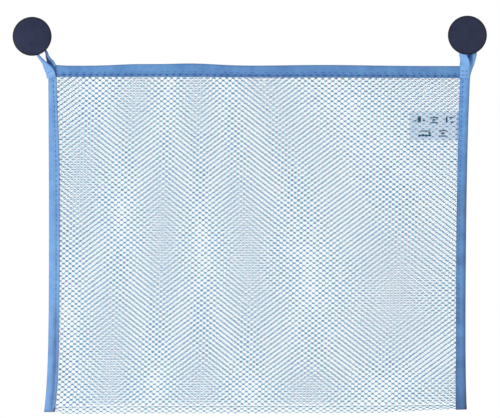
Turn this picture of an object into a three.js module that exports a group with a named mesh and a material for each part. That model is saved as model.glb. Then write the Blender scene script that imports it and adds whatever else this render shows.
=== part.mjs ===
// Bath toy organizer: a net bag bound with woven tape, hung by two tape loops from two suction cups.
// Millimetres, +Z up. The wall is the plane y = 0 and the room lies towards -Y.
// The origin is on the wall, midway between the axes of the two suction cups.
import * as THREE from "three";

// Suction cups and their knobs
const CUP_SPREAD = 16; // how much farther apart the two axes are than the bag is wide
const CUP_DIAMETER = 38;
const CUP_DEPTH = 8; // from the wall to the shoulder under the knob
const CUP_LIP = 1.2; // thickness of the outer edge
const CUP_CONTACT = 7; // width of the flat ring that lies on the wall
const CUP_HOLLOW = 2.4; // depth of the hollow inside that ring
const CUP_SHOULDER = 14; // diameter
const STEM_DIAMETER = 4.4;
const BARB_DIAMETER = 6;
const BARB_LENGTH = 2.4;
const NECK_DIAMETER = 9;
const KNOB_DIAMETER = 40;
const KNOB_EDGE = 5; // thickness at the edge
const KNOB_CROWN = 1.2; // rise of the face at its middle
const KNOB_ROUND = 1.6; // rounding of the edges

// Bag
const BAG_WIDTH = 430;
const BAG_HEIGHT = 355;
const BAG_SHIFT = 8; // how far the bag hangs to the right of the middle of the cups
const BAG_GAP = 7; // between the two net layers
const NET_THICKNESS = 1;
const NET_COLUMNS = 18; // holes side by side
const NET_ROWS = 9; // holes in the taller columns
const NET_STRAND = 4; // between two holes
const NET_MARGIN = 4; // plain strip around the holes
const CELL_TIP = 0.62; // from the middle of a hole to its tip, as a share of the column pitch

// Tape
const TAPE_THICKNESS = 0.8;
const SIDE_WIDTH = 11;
const SIDE_FOLD_RADIUS = 1.6;
const HEM_WIDTH = 12;
const LOOP_DROP = 11; // from the edge of a knob down to the top of the bag
const LOOP_INSET = 0.25; // how far a loop keeps inside each edge of the side tape
const LOOP_EASE = 0.45; // how long a leg keeps its first and last direction, as a share of its span
const LOOP_LEAN = 0.3; // share of a leg after which it leans over to the bag

// Label and thread
const LABEL_LENGTH = 52;
const LABEL_HEIGHT = 31;
const LABEL_THICKNESS = 0.5;
const LABEL_DROP = 47; // from the top of the bag
const THREAD = 0.5;
const THREAD_INSET = 2; // from the edge of the tape
const TACK_WIDTH = 8;
const TACK_HEIGHT = 1.2;

// Clearances
const FIT = 0.3; // between pieces that lie on each other
const SWING_GAP = 0.4; // between pieces that move past each other
const LOOP_PLAY = 0.75; // between a loop and either end of its neck

// Fineness of the curved pieces
const TURN_STEPS = 32;
const CURVE_STEPS = 5;
const LEG_STEPS = 14;
const ARC_STEPS = 12;

const CUP_SPAN = BAG_WIDTH + CUP_SPREAD; // between the two axes

// The loop is the side tape folded double
const LOOP_WIDTH = SIDE_WIDTH - 2 * LOOP_INSET;
const LOOP_THICKNESS = 2 * TAPE_THICKNESS;
const NECK_LENGTH = LOOP_WIDTH + 2 * LOOP_PLAY;
const NECK_Y = -(CUP_DEPTH + NECK_LENGTH / 2);
const KNOB_BACK_Y = -(CUP_DEPTH + NECK_LENGTH);

// Levels and edges of the bag
const BAG_TOP = -(KNOB_DIAMETER / 2 + LOOP_DROP);
const BAG_BOTTOM = BAG_TOP - BAG_HEIGHT;
const HEM_BOTTOM = BAG_TOP - HEM_WIDTH;
const NET_OFFSET = (BAG_GAP + NET_THICKNESS) / 2; // from the middle of the bag to the middle of a net
const FOLD_Z = BAG_BOTTOM + NET_OFFSET + NET_THICKNESS / 2;
const HEM_HALF = NET_THICKNESS / 2 + FIT + TAPE_THICKNESS;
const INNER_LEFT = BAG_SHIFT - BAG_WIDTH / 2 + SIDE_WIDTH;
const INNER_RIGHT = BAG_SHIFT + BAG_WIDTH / 2 - SIDE_WIDTH;
const PANEL_LEFT = INNER_LEFT + SWING_GAP;
const PANEL_RIGHT = INNER_RIGHT - SWING_GAP;
const PANEL_BOTTOM = FOLD_Z + SWING_GAP;
const NET_TOP = BAG_TOP - HEM_HALF;

// The flaps of a side tape slant from its fold out to the nets
const FLAP_HALF = NET_OFFSET + TAPE_THICKNESS / 2;
const FLAP_RUN = SIDE_WIDTH - SIDE_FOLD_RADIUS;
const SLANT =
  Math.acos(SIDE_FOLD_RADIUS / Math.hypot(FLAP_HALF, FLAP_RUN)) - Math.atan2(FLAP_RUN, FLAP_HALF);
const FLAP_MIDDLE = FLAP_HALF - (SIDE_WIDTH / 2) * Math.tan(SLANT);
const BAG_Y = NECK_Y + FLAP_MIDDLE + (FIT / 2) * Math.cos(SLANT); // middle of the bag, under the loops

const SIDES = [
  { name: "left", outward: -1 },
  { name: "right", outward: 1 },
];

const NAVY = new THREE.MeshStandardMaterial({ name: "navy plastic", color: 0x32384c, roughness: 0.6 });
const NAVY_SOFT = new THREE.MeshStandardMaterial({ name: "navy soft plastic", color: 0x2c3246, roughness: 0.4 });
const TAPE_BLUE = new THREE.MeshStandardMaterial({ name: "blue tape", color: 0x6a9bd4, roughness: 0.9 });
const NET_BLUE = new THREE.MeshStandardMaterial({ name: "blue grey net", color: 0x9db4c4, roughness: 0.9 });
const THREAD_BLUE = new THREE.MeshStandardMaterial({ name: "blue thread", color: 0x3f6ca6, roughness: 0.9 });
const LABEL_WHITE = new THREE.MeshStandardMaterial({ name: "white label", color: 0xe4e4f0, roughness: 0.8 });

const organizer = new THREE.Group();
organizer.name = "bath_toy_organizer";

function addPiece(name, geometry, material) {
  const mesh = new THREE.Mesh(geometry, material);
  mesh.name = name;
  organizer.add(mesh);
}

// A geometry from points and triangles, with the triangles turned to face outwards.
function closedGeometry(points, triangles) {
  let volume = 0;
  for (const [a, b, c] of triangles) {
    volume += points[a].dot(new THREE.Vector3().crossVectors(points[b], points[c]));
  }
  const geometry = new THREE.BufferGeometry().setFromPoints(points);
  geometry.setIndex(triangles.flatMap(([a, b, c]) => (volume > 0 ? [a, b, c] : [a, c, b])));
  geometry.computeVertexNormals();
  return geometry;
}

// A closed solid through copies of one outline. Each place puts a point of the outline on its section.
function loft(outline, places) {
  const size = outline.length;
  const ring = THREE.ShapeUtils.isClockWise(outline) ? [...outline].reverse() : outline;
  const points = places.flatMap((place) => ring.map(place));
  const triangles = [];
  for (let start = 0; start < points.length - size; start += size) {
    for (let k = 0; k < size; k++) {
      const a = start + k;
      const b = start + ((k + 1) % size);
      triangles.push([a, b, a + size], [b, b + size, a + size]);
    }
  }
  const last = points.length - size;
  for (const [a, b, c] of THREE.ShapeUtils.triangulateShape(ring, [])) {
    triangles.push([a, c, b], [last + a, last + b, last + c]);
  }
  return closedGeometry(points, triangles);
}

function rectangle(width, height) {
  const w = width / 2;
  const h = height / 2;
  return [[-w, -h], [w, -h], [w, h], [-w, h]].map(([x, y]) => new THREE.Vector2(x, y));
}

// Points on a circle about (x, y) from one angle to another, both included.
function arc(x, y, radius, from, to) {
  const points = [];
  for (let i = 0; i <= CURVE_STEPS; i++) {
    const angle = THREE.MathUtils.lerp(from, to, i / CURVE_STEPS);
    points.push(new THREE.Vector2(x + radius * Math.cos(angle), y + radius * Math.sin(angle)));
  }
  return points;
}

// Points of a curve with one control point, both ends included.
function bow(start, control, end) {
  return new THREE.QuadraticBezierCurve(start, control, end).getPoints(CURVE_STEPS);
}

// A turned solid about the axis of one cup: the profile is (radius, y) and runs from the wall to the room.
function turned(profile, axisX) {
  const geometry = new THREE.LatheGeometry([...profile].reverse(), TURN_STEPS);
  return geometry.translate(axisX, 0, 0);
}

// Suction cup with the barbed stem that plugs into the knob.
function suctionCup(axisX) {
  const point = (radius, y) => new THREE.Vector2(radius, y);
  const rim = CUP_DIAMETER / 2;
  const ring = rim - CUP_CONTACT;
  const shoulder = CUP_SHOULDER / 2;
  const stem = STEM_DIAMETER / 2;
  const barb = BARB_DIAMETER / 2;
  const barbBack = KNOB_BACK_Y - FIT;
  const tip = barbBack - BARB_LENGTH;
  const bell = bow(point(rim, -CUP_LIP), point(shoulder + CUP_LIP, -2 * CUP_LIP), point(shoulder, -CUP_DEPTH));
  const hollow = bow(point(0, -CUP_HOLLOW), point(ring / 2, -CUP_HOLLOW), point(ring, 0));
  const stemProfile = [point(stem, -CUP_DEPTH), point(stem, barbBack), point(barb, barbBack)];
  const tipProfile = [point(barb, barbBack - BARB_LENGTH / 3), point(stem / 2, tip), point(0, tip)];
  return turned([...hollow, point(rim, 0), ...bell, ...stemProfile, ...tipProfile], axisX);
}

// Round knob on a hollow neck; the pocket behind its face holds the barb of the stem.
function knob(axisX) {
  const point = (radius, y) => new THREE.Vector2(radius, y);
  const radius = KNOB_DIAMETER / 2;
  const neck = NECK_DIAMETER / 2;
  const bore = STEM_DIAMETER / 2 + FIT;
  const pocket = BARB_DIAMETER / 2 + FIT;
  const pocketEnd = KNOB_BACK_Y - BARB_LENGTH - 2 * FIT;
  const front = KNOB_BACK_Y - KNOB_EDGE;
  const edge = radius - KNOB_ROUND;
  const inside = [
    point(0, pocketEnd),
    point(pocket, pocketEnd),
    point(pocket, KNOB_BACK_Y),
    point(bore, KNOB_BACK_Y),
    point(bore, -CUP_DEPTH - FIT),
    point(neck, -CUP_DEPTH - FIT),
    point(neck, KNOB_BACK_Y),
  ];
  const back = arc(edge, KNOB_BACK_Y - KNOB_ROUND, KNOB_ROUND, Math.PI / 2, 0);
  const corner = arc(edge, front + KNOB_ROUND, KNOB_ROUND, 0, -Math.PI / 2);
  const face = bow(point(edge, front), point(edge / 2, front - KNOB_CROWN), point(0, front - KNOB_CROWN));
  return turned([...inside, ...back, ...corner, ...face.slice(1)], axisX);
}

// Section of a side tape folded around the edge of the bag: (inwards from the fold, across the bag).
function sideOutline() {
  const opening = Math.PI / 2 - SLANT;
  const wall = TAPE_THICKNESS / Math.cos(SLANT);
  const centre = SIDE_FOLD_RADIUS;
  const outer = arc(centre, 0, SIDE_FOLD_RADIUS, Math.PI + opening, Math.PI - opening);
  const inner = arc(centre, 0, SIDE_FOLD_RADIUS - TAPE_THICKNESS, Math.PI - opening, Math.PI + opening);
  return [
    new THREE.Vector2(SIDE_WIDTH, -FLAP_HALF),
    ...outer,
    new THREE.Vector2(SIDE_WIDTH, FLAP_HALF),
    new THREE.Vector2(SIDE_WIDTH, FLAP_HALF - wall),
    ...inner,
    new THREE.Vector2(SIDE_WIDTH, wall - FLAP_HALF),
  ];
}

function sideBinding({ outward }) {
  const edgeX = BAG_SHIFT + (outward * BAG_WIDTH) / 2;
  const places = [BAG_BOTTOM, BAG_TOP].map(
    (z) => (p) => new THREE.Vector3(edgeX - outward * p.x, BAG_Y + p.y, z),
  );
  return loft(sideOutline(), places);
}

// Section of a hem folded over the top of a net: (across the net, up from the lower edge).
function hemOutline() {
  const spring = HEM_WIDTH - HEM_HALF;
  const inner = HEM_HALF - TAPE_THICKNESS;
  return [
    new THREE.Vector2(HEM_HALF, 0),
    ...arc(0, spring, HEM_HALF, 0, Math.PI),
    new THREE.Vector2(-HEM_HALF, 0),
    new THREE.Vector2(-inner, 0),
    ...arc(0, spring, inner, Math.PI, 0),
    new THREE.Vector2(inner, 0),
  ];
}

function hem(y) {
  const places = [PANEL_LEFT, PANEL_RIGHT].map(
    (x) => (p) => new THREE.Vector3(x, y + p.x, HEM_BOTTOM + p.y),
  );
  return loft(hemOutline(), places);
}

// Outlines of the net's holes: flat-topped six-sided cells, every second column set half a cell higher.
function netHoles() {
  const width = PANEL_RIGHT - PANEL_LEFT - 2 * NET_MARGIN;
  const height = HEM_BOTTOM - PANEL_BOTTOM - 2 * NET_MARGIN;
  const columnPitch = width / (NET_COLUMNS - 1 + 2 * CELL_TIP);
  const rowPitch = height / NET_ROWS;
  const tip = CELL_TIP * columnPitch - NET_STRAND / 2;
  const flat = (1 - CELL_TIP) * columnPitch - NET_STRAND / 4;
  const rise = rowPitch / 2 - NET_STRAND / 2;
  const cell = [[-tip, 0], [-flat, -rise], [flat, -rise], [tip, 0], [flat, rise], [-flat, rise]];
  const holes = [];
  for (let column = 0; column < NET_COLUMNS; column++) {
    const shifted = column % 2;
    const x = PANEL_LEFT + NET_MARGIN + (column + CELL_TIP) * columnPitch;
    for (let row = 0; row < NET_ROWS - shifted; row++) {
      const z = PANEL_BOTTOM + NET_MARGIN + (row + 0.5 + shifted / 2) * rowPitch;
      holes.push(new THREE.Path(cell.map(([dx, dz]) => new THREE.Vector2(x + dx, z + dz))));
    }
  }
  return holes;
}

// Flat net whose middle plane lies at y.
function net(y) {
  const corners = [
    [PANEL_LEFT, PANEL_BOTTOM],
    [PANEL_RIGHT, PANEL_BOTTOM],
    [PANEL_RIGHT, NET_TOP],
    [PANEL_LEFT, NET_TOP],
  ];
  const shape = new THREE.Shape(corners.map(([x, z]) => new THREE.Vector2(x, z)));
  shape.holes = netHoles();
  const geometry = new THREE.ExtrudeGeometry(shape, { depth: NET_THICKNESS, bevelEnabled: false });
  return geometry.rotateX(Math.PI / 2).translate(0, y + NET_THICKNESS / 2, 0);
}

// Bend at the bottom of the bag, where the net turns from its back layer to its front layer.
function netFold() {
  const outer = arc(0, 0, NET_OFFSET + NET_THICKNESS / 2, Math.PI, 2 * Math.PI);
  const inner = arc(0, 0, NET_OFFSET - NET_THICKNESS / 2, 2 * Math.PI, Math.PI);
  const places = [PANEL_LEFT, PANEL_RIGHT].map(
    (x) => (p) => new THREE.Vector3(x, BAG_Y + p.x, FOLD_Z + p.y),
  );
  return loft([...outer, ...inner], places);
}

// Where the two ends of a loop lie on the corner of the bag, one on the other, and how far the tape has turned.
function loopSeat({ outward }) {
  const inwards = new THREE.Vector3(-outward * Math.sin(SLANT), Math.cos(SLANT), 0);
  const surface = new THREE.Vector3(
    BAG_SHIFT + outward * (BAG_WIDTH / 2 - SIDE_WIDTH / 2),
    BAG_Y - FLAP_MIDDLE,
    BAG_TOP,
  );
  const front = surface.addScaledVector(inwards, -FIT - LOOP_THICKNESS / 2);
  const back = front.clone().addScaledVector(inwards, LOOP_THICKNESS + FIT);
  return { front, back, inwards, turn: Math.PI / 2 + outward * SLANT };
}

// A section of tape: its middle, the direction of its width and the direction through it.
function tapePlace(middle, across, through) {
  return (p) => middle.clone().addScaledVector(across, p.x).addScaledVector(through, p.y);
}

// One leg of a loop from the neck down to the bag, turning from edge-on to lying on the bag.
function loopLeg(start, heading, end, turn, facing) {
  const reach = LOOP_EASE * Math.hypot(end.x - start.x, end.z - start.y);
  const curve = new THREE.CubicBezierCurve(
    start,
    start.clone().addScaledVector(heading, reach),
    new THREE.Vector2(end.x, end.z + reach),
    new THREE.Vector2(end.x, end.z),
  );
  const places = [];
  for (let i = 0; i <= LEG_STEPS; i++) {
    const s = i / LEG_STEPS;
    const flat = curve.getPoint(s);
    const along = curve.getTangent(s);
    const y = THREE.MathUtils.lerp(NECK_Y, end.y, THREE.MathUtils.smoothstep(s, LOOP_LEAN, 1));
    const angle = turn * THREE.MathUtils.smoothstep(s, 0, 1);
    const side = new THREE.Vector3(-along.y, 0, along.x);
    const depth = new THREE.Vector3(0, 1, 0);
    const across = side.clone().multiplyScalar(-Math.sin(angle)).addScaledVector(depth, Math.cos(angle));
    const through = side.multiplyScalar(Math.cos(angle)).addScaledVector(depth, Math.sin(angle));
    places.push(tapePlace(new THREE.Vector3(flat.x, y, flat.y), across, through.multiplyScalar(facing)));
  }
  return places;
}

// Loop of tape over the neck of a knob, with both ends just above the corner of the bag.
function loop(side) {
  const { front, back, turn } = loopSeat(side);
  const neck = new THREE.Vector2((side.outward * CUP_SPAN) / 2, 0);
  const radius = NECK_DIAMETER / 2 + FIT + LOOP_THICKNESS / 2;
  const lift = new THREE.Vector3(0, 0, SWING_GAP);
  const heading = new THREE.Vector2((front.x + back.x) / 2, BAG_TOP).sub(neck).normalize();
  const leftwards = new THREE.Vector2(heading.y, -heading.x);
  const startLeft = neck.clone().addScaledVector(leftwards, radius);
  const startRight = neck.clone().addScaledVector(leftwards, -radius);
  const left = loopLeg(startLeft, heading, front.add(lift), turn, 1);
  const right = loopLeg(startRight, heading, back.add(lift), turn, -1);
  const over = [];
  for (let i = 1; i < ARC_STEPS; i++) {
    const angle = (Math.PI * i) / ARC_STEPS;
    const ray = leftwards.clone().multiplyScalar(Math.cos(angle)).addScaledVector(heading, -Math.sin(angle));
    const middle = new THREE.Vector3(neck.x + radius * ray.x, NECK_Y, radius * ray.y);
    over.push(tapePlace(middle, new THREE.Vector3(0, 1, 0), new THREE.Vector3(-ray.x, 0, -ray.y)));
  }
  return loft(rectangle(LOOP_WIDTH, LOOP_THICKNESS), [...left.reverse(), ...over, ...right]);
}

// Upright strip lying on the corner of the bag as a loop's end does, lifted off the middle of that end.
function cornerStrip(side, width, thickness, lift, bottom, top) {
  const { front, inwards } = loopSeat(side);
  const across = new THREE.Vector3(inwards.y, -inwards.x, 0);
  const places = [bottom, top].map((z) => {
    const middle = front.clone().addScaledVector(inwards, -lift).setZ(z);
    return tapePlace(middle, across, inwards);
  });
  return loft(rectangle(width, thickness), places);
}

function loopTack(side) {
  const lift = (LOOP_THICKNESS + THREAD) / 2 + FIT;
  const bottom = HEM_BOTTOM + THREAD_INSET;
  return cornerStrip(side, TACK_WIDTH, THREAD, lift, bottom, bottom + TACK_HEIGHT);
}

// Row of stitches along the front flap of a side tape, below the sewn end of the loop.
function sideThread({ outward }) {
  const inwards = new THREE.Vector3(-outward * Math.sin(SLANT), Math.cos(SLANT), 0);
  const across = new THREE.Vector3(inwards.y, -inwards.x, 0);
  const x = BAG_SHIFT + outward * (BAG_WIDTH / 2 - SIDE_WIDTH + THREAD_INSET);
  const y = BAG_Y - FLAP_HALF + THREAD_INSET * Math.tan(SLANT);
  const places = [BAG_BOTTOM + THREAD_INSET, HEM_BOTTOM - THREAD_INSET].map((z) => {
    const middle = new THREE.Vector3(x, y, z).addScaledVector(inwards, -FIT - THREAD / 2);
    return tapePlace(middle, across, inwards);
  });
  return loft(rectangle(THREAD, THREAD), places);
}

// Row of stitches along a hem, on the face that looks away from the bag; outward is -1 in front and 1 behind.
function hemThread(outward) {
  const y = BAG_Y + outward * (NET_OFFSET + HEM_HALF + FIT + THREAD / 2);
  const geometry = new THREE.BoxGeometry(PANEL_RIGHT - PANEL_LEFT, THREAD, THREAD);
  return geometry.translate((PANEL_LEFT + PANEL_RIGHT) / 2, y, HEM_BOTTOM + THREAD_INSET);
}

// Label held in the right seam, lying on the inner face of the back net.
function careLabel() {
  const y = BAG_Y + BAG_GAP / 2 - FIT - LABEL_THICKNESS / 2;
  const geometry = new THREE.BoxGeometry(LABEL_LENGTH, LABEL_THICKNESS, LABEL_HEIGHT);
  return geometry.translate(INNER_RIGHT - LABEL_LENGTH / 2, y, BAG_TOP - LABEL_DROP - LABEL_HEIGHT / 2);
}

for (const side of SIDES) {
  const axisX = (side.outward * CUP_SPAN) / 2;
  addPiece(`${side.name}_suction_cup`, suctionCup(axisX), NAVY_SOFT);
  addPiece(`${side.name}_knob`, knob(axisX), NAVY);
  addPiece(`${side.name}_loop`, loop(side), TAPE_BLUE);
  const loopEnd = cornerStrip(side, LOOP_WIDTH, LOOP_THICKNESS, 0, HEM_BOTTOM, BAG_TOP);
  addPiece(`${side.name}_loop_end`, loopEnd, TAPE_BLUE);
  addPiece(`${side.name}_loop_tack`, loopTack(side), THREAD_BLUE);
  addPiece(`${side.name}_side_binding`, sideBinding(side), TAPE_BLUE);
  addPiece(`${side.name}_side_thread`, sideThread(side), THREAD_BLUE);
}

addPiece("back_net", net(BAG_Y + NET_OFFSET), NET_BLUE);
addPiece("net_fold", netFold(), NET_BLUE);
addPiece("front_net", net(BAG_Y - NET_OFFSET), NET_BLUE);
addPiece("back_hem", hem(BAG_Y + NET_OFFSET), TAPE_BLUE);
addPiece("front_hem", hem(BAG_Y - NET_OFFSET), TAPE_BLUE);
addPiece("back_hem_thread", hemThread(1), THREAD_BLUE);
addPiece("front_hem_thread", hemThread(-1), THREAD_BLUE);
addPiece("care_label", careLabel(), LABEL_WHITE);

export default organizer;
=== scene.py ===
"""Looks of a bath toy organizer: a net bag bound with blue tape, hung by two tape loops from suction cups.

Metres, +Z up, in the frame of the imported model: the wall is the plane y = 0 and the room lies towards -Y.
"""
import math

import bpy
import numpy as np
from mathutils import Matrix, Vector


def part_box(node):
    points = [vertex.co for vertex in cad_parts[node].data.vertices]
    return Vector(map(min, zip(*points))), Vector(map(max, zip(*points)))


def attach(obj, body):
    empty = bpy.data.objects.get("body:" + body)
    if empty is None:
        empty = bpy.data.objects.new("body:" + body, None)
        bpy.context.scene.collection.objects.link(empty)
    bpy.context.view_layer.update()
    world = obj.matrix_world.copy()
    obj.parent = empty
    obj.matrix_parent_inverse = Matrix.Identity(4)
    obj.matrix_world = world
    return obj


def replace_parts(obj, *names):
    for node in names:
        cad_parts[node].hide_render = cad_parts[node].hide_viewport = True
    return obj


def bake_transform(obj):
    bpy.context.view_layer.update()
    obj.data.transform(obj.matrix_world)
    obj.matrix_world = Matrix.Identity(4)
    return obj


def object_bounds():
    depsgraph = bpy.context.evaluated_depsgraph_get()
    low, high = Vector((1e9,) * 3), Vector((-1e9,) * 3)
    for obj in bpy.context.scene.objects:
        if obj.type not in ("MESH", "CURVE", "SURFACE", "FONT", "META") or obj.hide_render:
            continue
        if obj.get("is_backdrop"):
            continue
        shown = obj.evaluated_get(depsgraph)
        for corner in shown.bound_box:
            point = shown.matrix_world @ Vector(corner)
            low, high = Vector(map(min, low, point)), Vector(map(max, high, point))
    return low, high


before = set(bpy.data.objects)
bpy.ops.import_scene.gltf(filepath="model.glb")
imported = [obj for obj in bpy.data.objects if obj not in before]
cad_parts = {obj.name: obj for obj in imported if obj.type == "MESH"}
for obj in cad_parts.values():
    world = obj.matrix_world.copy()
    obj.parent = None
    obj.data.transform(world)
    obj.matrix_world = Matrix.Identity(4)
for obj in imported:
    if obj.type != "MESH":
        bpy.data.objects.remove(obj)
cad_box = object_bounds()

MM = 0.001
TURN = 2 * math.pi

# Photograph: its size in pixels, the real size of a pixel on the bag and the pixel midway between the cups
PHOTO_SIZE = (500, 418)
PIXEL = 1.026 * MM
MIDDLE_PIXEL = (249.75, 35.4)
CAMERA_DISTANCE = 5.5
SENSOR_WIDTH = 36.0  # in the millimetres that the lens is given in

# Lamps: power, size and place; and the strength of the light from all round
LAMPS = {"key": (16.2, 0.7, (-1.25, -0.95, -0.2)), "fill": (7.2, 0.9, (0.7, -1.5, -0.1))}
AMBIENT = 0.41
WHITE = (1, 1, 1, 1)

# Floor
FLOOR_DROP = 0.62
FLOOR_RADIUS = 0.6
FLOOR_STEPS = 33
FLOOR_WHITE = 0.6  # share of plain white in its middle, as the camera sees it
FLOOR_FADE = (0.05, 0.02)  # how far past the middle and short of the rim that share grows

# Deep and pale shade of each finish as they show on a screen, and a third one for painted shade in folds,
# edges, loops and net bars and for the dark lower ends of the side tapes; the label's ink is its print
# The side tape finishes are copies of the hem tape whose shades differ as painted light, the right one
# brightest, with painted shade laid over it lower down
TAPE_SHADES = {
    "hem_tape": ((67, 115, 178), (100, 153, 204), (12, 30, 82)),
    "left_tape": ((77, 126, 188), (113, 164, 213), (12, 30, 82)),
    "right_tape": ((92, 150, 224), (134, 194, 252), (12, 30, 82)),
    # The loops are the same tape again, brighter than the hem as painted light and the right loop more so;
    # their third shade is that of painted shade
    "left_satin_tape": ((98, 146, 202), (130, 178, 226), (14, 76, 178)),
    "right_satin_tape": ((110, 164, 224), (144, 197, 247), (18, 86, 190)),
}
THREAD_SHADES = {
    "dark_thread": ((22, 66, 148), (52, 102, 182)),
    "blue_thread": ((56, 102, 172), (82, 130, 194)),
    "pale_thread": ((64, 112, 184), (92, 142, 206)),
    "navy_thread": ((24, 52, 112), (48, 82, 150)),
}
NET_SHADES = ((0, 224, 255), (40, 246, 255), (0, 110, 182))
KNOB_SHADES = ((24, 31, 57), (33, 40, 67), (9, 9, 18))
CUP_SHADES = ((34, 40, 62), (46, 54, 80))
LABEL_SHADES = ((229, 234, 246), (239, 243, 251))
LABEL_INK = (10, 14, 28)
FLOOR_SHADES = ((232, 233, 235), (240, 240, 241))

# Degrees between two faces from which the edge between them looks sharp
SHARP_ANGLE = 50
TURNED_SHARP = 40
YARN_SHARP = 180

# Tape. Of values in braces, -1 is for the left side tape, 0 for the hems and 1 for the right side tape
TAPE = 0.8 * MM  # thickness
TAPE_RIBS = (0.42 * MM, 0.56 * MM, 1.3 * MM)  # their steps across, along and aslant
SIDE_FOLD = 1.6 * MM  # outer radius
SIDE_GRID = (240, 45)  # points along and across
HEM_GRID = (160, 45)
HEM_OVERLAP = 4 * MM  # over the side tapes
FLAP_SHORT = {-1: 3.1 * MM, 1: 1.2 * MM}  # how much narrower the flaps are, on the left only at the top
FLAP_FADE = {-1: 100 * MM, 1: 60 * MM}  # over which that fades, from the top and to the lower end

# Rows of stitches: step, share of it that a stitch takes and radius of the thread
SIDE_STITCH = 5.1 * MM
SIDE_SEWING = (SIDE_STITCH, 0.5, 0.42 * MM)
SIDE_INSET = {-1: 3.5 * MM, 1: 2.6 * MM}  # from the edge of the tape
SIDE_ENDS = (1 * MM, 2 * MM)  # how far the row stops from the lower end and from the hem
LONG_STITCH = 7.05 * MM
HEM_SEWING = {"lower": (LONG_STITCH, 0.44, 0.66 * MM), "upper": (LONG_STITCH, 0.44, 0.24 * MM)}
HEM_INSET = {"lower": 2.0 * MM, "upper": 4.6 * MM}
HEM_END = 1 * MM
TACK_SEWING = (3.2 * MM, 0.84, 0.27 * MM)
TACK_FINISH = {"left": "pale_thread", "right": "navy_thread"}
TACK_SPAN = 0.76  # share of the loop's width
TACK_RISES = {"left": (5.6 * MM, 1 * MM), "right": (6.4 * MM, 2.3 * MM)}  # above the hem's lower edge
THREAD_TWIST = 0.55 * MM
STITCH_STRAY = 0.08  # unevenness along the row, as a share of the step
STITCH_UNEVEN = 0.2  # and of the length, as a share of it
STITCH_MOST = 1.5  # largest chance value for both
STITCH_HEIGHT = (-0.6, 1.3)  # of its ends above the tape and of its middle above them, in radii
STITCH_TAPER = 0.6  # share of the radius at its ends
STITCH_STEPS = 7
STITCH_SIDES = 6
SEW_SEED = 5

# Furrows along the stitches: depth and half width
SIDE_FURROW = (0.34 * MM, 1.9 * MM)
HEM_FURROW = (0.28 * MM, 1.6 * MM)
FURROW_EVEN = 0.75  # mean share of the depth; the rest comes and goes with the stitches
WANDER = 0.45 * MM  # of a furrow to and fro
RIPPLE = 0.22 * MM  # height of the slow ripples at the edges
RIPPLES = ((9 * MM, 0), (5.3 * MM, 2), (23 * MM, 1))  # length of a radian and start of each

# Painted shade on the tapes, and the darker lower ends of the side tapes: how dark, from 0 to 1, and how far
# that reaches
FOLD_SHADE = 0.42
FOLD_HALF = {-1: 0.5 * MM, 0: 0.7 * MM, 1: 3.2 * MM}
EDGE_SHADE = (0.28, 0.4 * MM)
HEM_SHADE = (0.33, 1.5 * MM)  # along the furrow
SIDE_PAINTED_SHADE = {  # painted shade on the side tapes, growing towards the lower end: distances from the top in millimetres and shades
    -1: ((0, 0.06), (225, 0.10), (280, 0.62), (340, 0.58), (355, 0.40)),
    1: ((0, 0.0), (34, 0.05), (75, 0.15), (137, 0.42), (285, 0.43), (322, 0.61), (345, 0.72)),
}
TONE_HALF = {-1: 2.6 * MM, 1: 14 * MM}
SIDE_PATCH = 7 * SIDE_STITCH  # length of the patches along the furrow
PATCH_EVEN = 0.85  # mean share of the shade; the rest comes and goes with the patches
PATCH_DRIFT = (2, 17 * MM)  # of the patches in radians, and length of a radian of it
LOOP_SHADOW = (0.8, 1.1 * MM)  # on the front hem beside the edges of a loop
CUT_SHADE = (0.85, 1.4 * MM)  # at the lower end of a side tape
CORNER_DARK = (1.9, 5.0 * MM)  # darker still at one corner of that end, fully dark in its middle
CORNER_DARK_WIDTH = {-1: 1.5 * MM, 1: 2.8 * MM}

# Loops
LOOP_TAPE = 1.1 * MM  # thickness
LOOP_WIDTHS = {"left": 10 * MM, "right": 10.5 * MM}
LOOP_GRID = (220, 17)  # points along and across
LOOP_MEASURE = 400  # points along, for the length
LOOP_NEAR = 1e-3  # share of the loop over which a direction is taken
LOOP_BELLY = 0.35 * MM
LOOP_BEND = (10 * MM, 3 * MM)  # how far above and below the top of the bag; no step bends the loop with it
LOOP_EDGE = (0.5, 0.6 * MM)  # painted shade at its edges: how dark, and how far
LOOP_INSIDE = (0.8, 1.4)  # painted shade on its inside: how dark at the deeper edge, and how fast it fades across
LOOP_KEYS = {  # place (x, y, z) of the tape's middle in millimetres and its turn in degrees
    "left": (
        (-203.4, -15.6, -43.5, 18), (-204.3, -15.6, -38.6, 24), (-206.4, -15.7, -34.6, 36),
        (-208.7, -15.7, -31.4, 51), (-210.9, -15.3, -28.3, 66), (-213.4, -14.8, -25.2, 74),
        (-217.4, -14.3, -20.4, 78), (-223.2, -14.0, -12.4, 84), (-228.4, -14.0, -2.7, 90),
        (-226.1, -14.0, 4.0, 90), (-220.1, -14.0, 4.2, 90), (-217.2, -14.0, -1.9, 90),
        (-213.4, -14.0, -9.6, 94), (-208.9, -14.0, -17.0, 101), (-207.6, -14.0, -21.4, 108),
        (-205.9, -14.0, -25.4, 120), (-204.0, -14.1, -29.2, 142), (-203.2, -14.4, -33.0, 164),
        (-202.6, -14.4, -38.4, 164), (-202.6, -14.4, -43.2, 164),
    ),
    "right": (
        (220.4, -15.8, -43.7, -12), (220.4, -16.1, -38.1, -8), (220.5, -16.3, -32.5, 1),
        (220.7, -15.8, -27.6, 25), (219.7, -14.8, -23.0, 44), (217.7, -14.3, -18.0, 62),
        (217.4, -14.0, -10.5, 80), (217.4, -14.0, -1.0, 90), (219.9, -14.0, 4.8, 90),
        (226.1, -14.0, 4.8, 90), (228.8, -14.0, -1.0, 90), (229.8, -14.0, -10.5, 112),
        (228.6, -14.0, -18.6, 138), (226.2, -14.0, -26.2, 156), (223.7, -14.3, -32.4, 192),
        (221.6, -14.4, -39.0, 196), (221.0, -14.4, -44.0, 196),
    ),
}

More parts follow.
